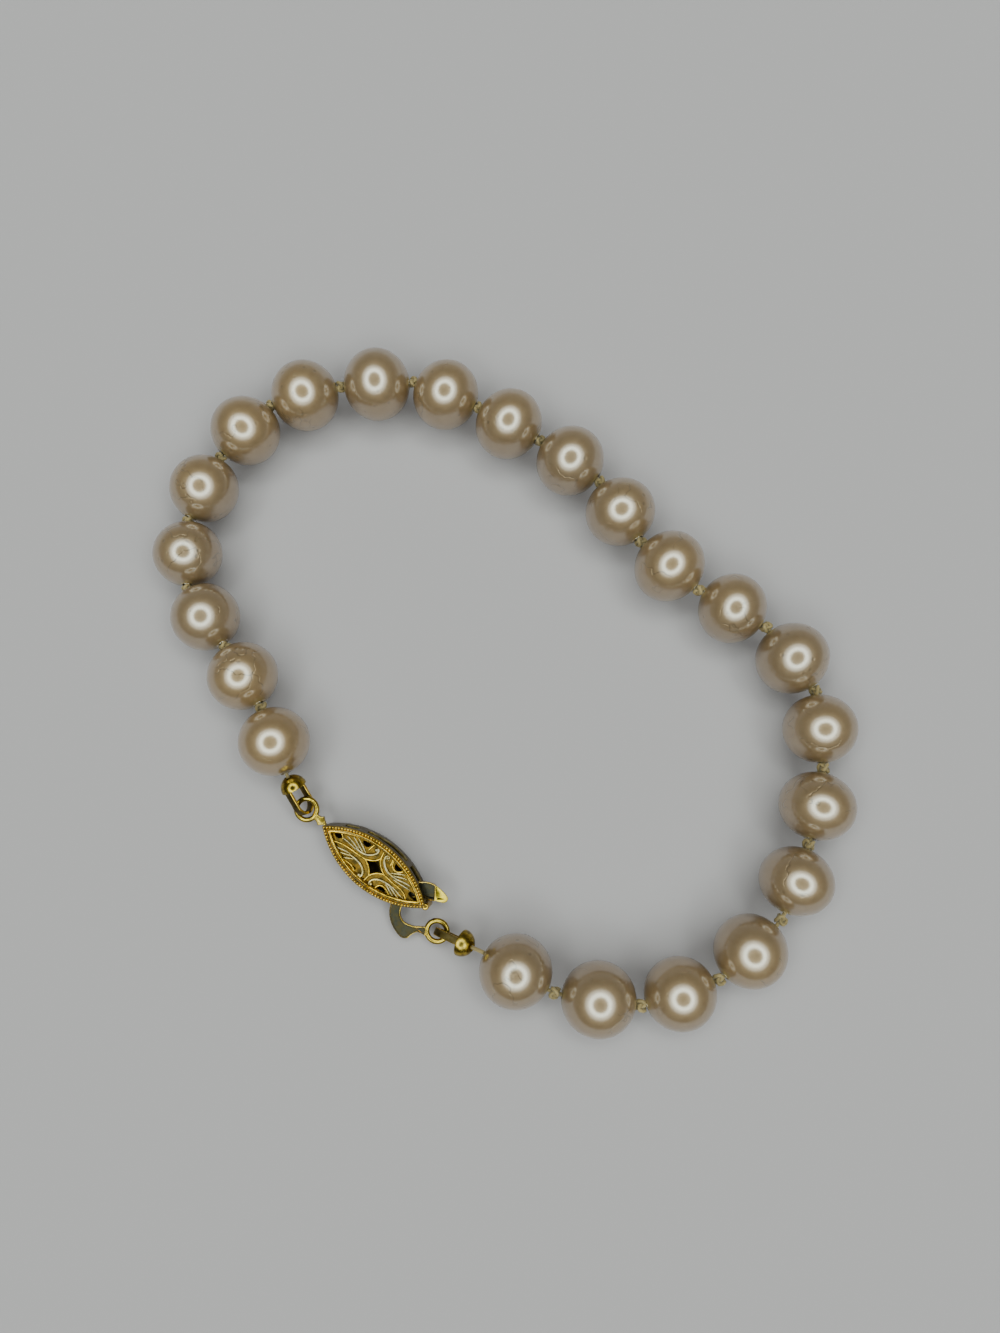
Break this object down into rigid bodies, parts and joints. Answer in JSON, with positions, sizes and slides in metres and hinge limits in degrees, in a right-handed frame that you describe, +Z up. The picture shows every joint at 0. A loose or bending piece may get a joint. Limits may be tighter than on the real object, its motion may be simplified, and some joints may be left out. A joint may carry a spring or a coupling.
{
  "type": "pearl bracelet",
  "caption": "Knotted pearl bracelet, closed with a pierced, gold-plated box clasp and hook, lying in a loose loop on a surface.",
  "frame": {"origin": "on the surface that the bracelet lies on, under the middle of its loop", "axes": "+Z up from that surface, +X and +Y along it, with the clasp on the -X, -Y side of the loop"},
  "size_m": [0.0652, 0.0642, 0.007],
  "materials": {
    "nacre": "lustrous cream nacre",
    "silk": "twisted golden tan silk, darkened by wear",
    "gilt": "antique gold plate",
    "worn_gilt": "worn gold plate, grey on the flats"
  },
  "bodies": {
    "root": {"pearl_01": "nacre", "pearl_02": "nacre", "pearl_03": "nacre", "pearl_04": "nacre", "pearl_05": "nacre", "pearl_06": "nacre", "pearl_07": "nacre", "pearl_08": "nacre", "pearl_09": "nacre", "pearl_10": "nacre", "pearl_11": "nacre", "pearl_12": "nacre", "pearl_13": "nacre", "pearl_14": "nacre", "pearl_15": "nacre", "pearl_16": "nacre", "pearl_17": "nacre", "pearl_18": "nacre", "pearl_19": "nacre", "pearl_20": "nacre", "pearl_21": "nacre", "pearl_22": "nacre", "silk_thread": "silk", "bead_tip_1": "gilt", "bead_tip_2": "gilt", "clasp_box": "gilt", "clasp_hook": "worn_gilt"}
  },
  "joints": []
}
